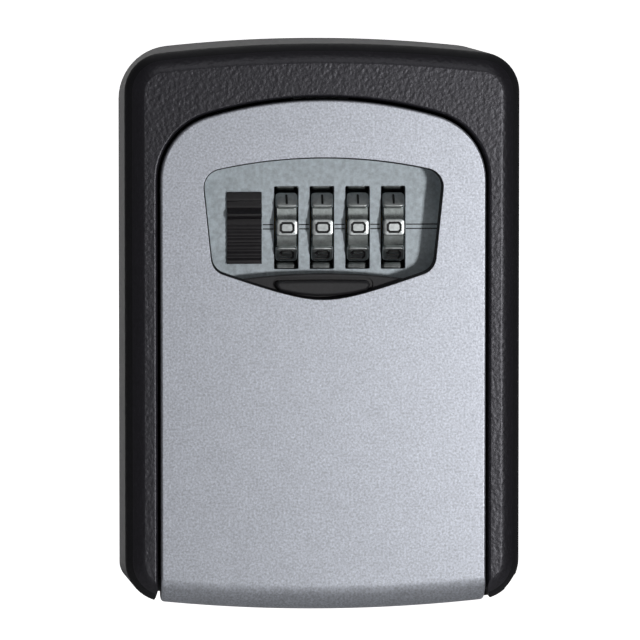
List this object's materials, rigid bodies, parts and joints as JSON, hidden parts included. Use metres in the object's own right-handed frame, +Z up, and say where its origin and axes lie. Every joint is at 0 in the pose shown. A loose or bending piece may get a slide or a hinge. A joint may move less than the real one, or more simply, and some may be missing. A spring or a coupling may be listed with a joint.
{
  "type": "key lock box",
  "caption": "Wall-mounted key lock box with a bottom-hinged door, combination dials, an open button and a sliding shutter over them.",
  "frame": {"origin": "centre of the flat wall face, midway between the four back screw holes", "axes": "+Z up along the box's height, +Y into the wall, so the door faces -Y; +X to the viewer's right"},
  "size_m": [0.084, 0.04, 0.12],
  "materials": {
    "door_silver": "satin metallic paint with a fine sparkle",
    "housing_black": "semi-gloss black, textured on the flat front rim",
    "plate_silver": "satin",
    "dial_chrome": "dark polished",
    "button_black": "ribbed",
    "shutter_grey": "fine matte",
    "liner_black": "matte",
    "zinc": "as cast",
    "steel": "bright",
    "brass": "turned"
  },
  "bodies": {
    "housing": {"housing": "housing_black", "hinge_pin": "steel"},
    "door": {"door_cover": "door_silver", "dial_faceplate": "plate_silver", "lock_case": "zinc", "mechanism_cover": "zinc", "door_liner": "liner_black", "case_screw_1": "steel", "case_screw_2": "steel", "case_screw_3": "steel", "case_screw_4": "steel", "cover_screw_1": "steel", "cover_screw_2": "steel", "cover_screw_3": "steel", "cover_screw_4": "steel", "liner_screw_1": "steel", "liner_screw_2": "steel", "liner_screw_3": "steel", "liner_screw_4": "steel", "dial_shaft": "steel", "shaft_clip_1": "steel", "shaft_clip_2": "steel", "detent_spring": "steel", "shutter_click_spring": "steel", "latch_spring_1": "steel", "latch_spring_2": "steel", "reset_spring": "steel"},
    "latch": {"latch_plate": "zinc", "open_button": "button_black", "button_rivet_1": "steel", "button_rivet_2": "steel"},
    "shutter": {"shutter": "shutter_grey"},
    "reset": {"reset_lever": "brass"},
    "dial_1": {"dial_1": "dial_chrome"},
    "dial_2": {"dial_2": "dial_chrome"},
    "dial_3": {"dial_3": "dial_chrome"},
    "dial_4": {"dial_4": "dial_chrome"},
    "cam_1": {"cam_1": "brass"},
    "cam_2": {"cam_2": "brass"},
    "cam_3": {"cam_3": "brass"},
    "cam_4": {"cam_4": "brass"}
  },
  "joints": [
    {"name": "door_hinge", "type": "hinge", "parent": "housing", "child": "door", "pos_m": [0, -0.0348, -0.0548], "axis": [1, 0, 0], "range_deg": [0, 100]},
    {"name": "open_slide", "type": "slide", "parent": "door", "child": "latch", "axis": [0, 0, -1], "range_m": [0, 0.0026], "stiffness_N_per_m": 600, "springref_m": -0.004, "deforming": ["latch_spring_1", "latch_spring_2"]},
    {"name": "shutter_slide", "type": "slide", "parent": "door", "child": "shutter", "axis": [0, 0, 1], "range_m": [0, 0.025]},
    {"name": "reset_slide", "type": "slide", "parent": "door", "child": "reset", "axis": [1, 0, 0], "range_m": [0, 0.0014], "stiffness_N_per_m": 500, "springref_m": -0.002, "deforming": ["reset_spring"]},
    {"name": "dial_1_turn", "type": "hinge", "parent": "door", "child": "dial_1", "pos_m": [-0.00745, -0.0247, 0.021], "axis": [1, 0, 0], "continuous": true},
    {"name": "cam_1_slide", "type": "slide", "parent": "dial_1", "child": "cam_1", "axis": [1, 0, 0], "range_m": [0, 0.0014]},
    {"name": "dial_2_turn", "type": "hinge", "parent": "door", "child": "dial_2", "pos_m": [0.00015, -0.0247, 0.021], "axis": [1, 0, 0], "continuous": true},
    {"name": "cam_2_slide", "type": "slide", "parent": "dial_2", "child": "cam_2", "axis": [1, 0, 0], "range_m": [0, 0.0014]},
    {"name": "dial_3_turn", "type": "hinge", "parent": "door", "child": "dial_3", "pos_m": [0.00775, -0.0247, 0.021], "axis": [1, 0, 0], "continuous": true},
    {"name": "cam_3_slide", "type": "slide", "parent": "dial_3", "child": "cam_3", "axis": [1, 0, 0], "range_m": [0, 0.0014]},
    {"name": "dial_4_turn", "type": "hinge", "parent": "door", "child": "dial_4", "pos_m": [0.01535, -0.0247, 0.021], "axis": [1, 0, 0], "continuous": true},
    {"name": "cam_4_slide", "type": "slide", "parent": "dial_4", "child": "cam_4", "axis": [1, 0, 0], "range_m": [0, 0.0014]}
  ],
  "couplings": [
    {"joint": "cam_1_slide", "follows": "reset_slide", "ratio": 1},
    {"joint": "cam_2_slide", "follows": "reset_slide", "ratio": 1},
    {"joint": "cam_3_slide", "follows": "reset_slide", "ratio": 1},
    {"joint": "cam_4_slide", "follows": "reset_slide", "ratio": 1}
  ]
}
